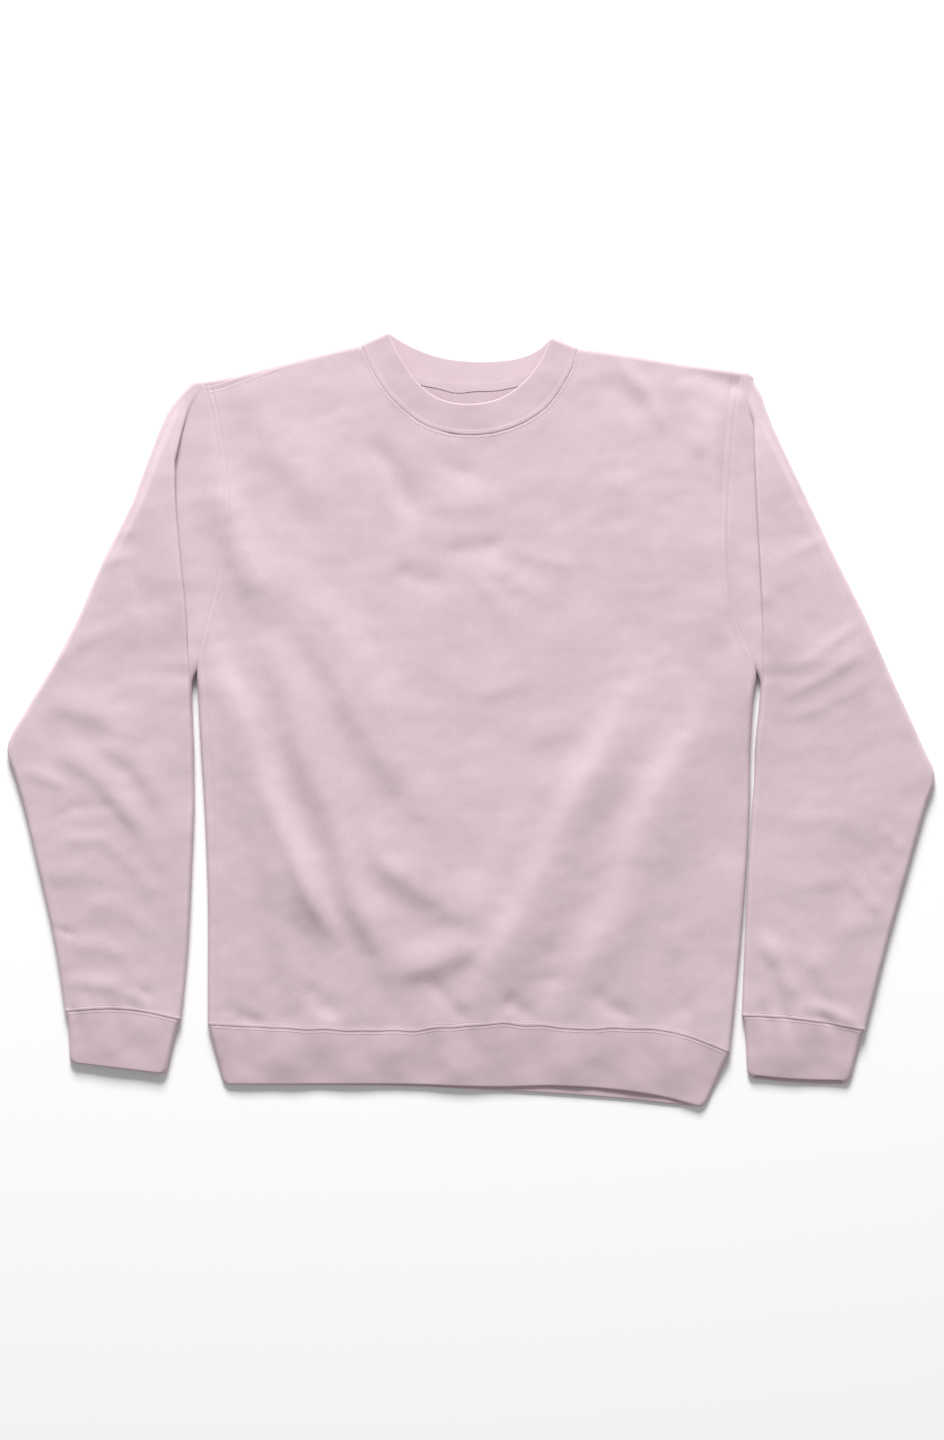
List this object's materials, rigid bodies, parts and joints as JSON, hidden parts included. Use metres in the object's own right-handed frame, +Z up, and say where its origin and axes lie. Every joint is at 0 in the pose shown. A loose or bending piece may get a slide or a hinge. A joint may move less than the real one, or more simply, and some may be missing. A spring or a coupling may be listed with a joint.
{
  "type": "crewneck sweatshirt",
  "caption": "Crewneck sweatshirt in pastel fleece, laid flat and face up with its sleeves turned down and bent at the elbow, with rib collar, cuffs and hem band.",
  "frame": {"origin": "centre of the laid garment's box, on the surface it lies on", "axes": "+X to the viewer's right across the laid garment, +Y from the hem towards the collar, +Z up from the surface"},
  "size_m": [0.8634, 0.7223, 0.019],
  "materials": {
    "fleece": "soft matt brushed-back cotton fleece in pale pink",
    "rib": "matt cotton rib knit in the same pale pink",
    "tape": "matt cotton herringbone tape in the same pale pink"
  },
  "bodies": {
    "root": {"front_panel": "fleece", "back_panel": "fleece", "sleeve_left": "fleece", "sleeve_right": "fleece", "cuff_left": "rib", "cuff_right": "rib", "hem_band": "rib", "collar": "rib", "neck_tape": "tape"}
  },
  "joints": []
}
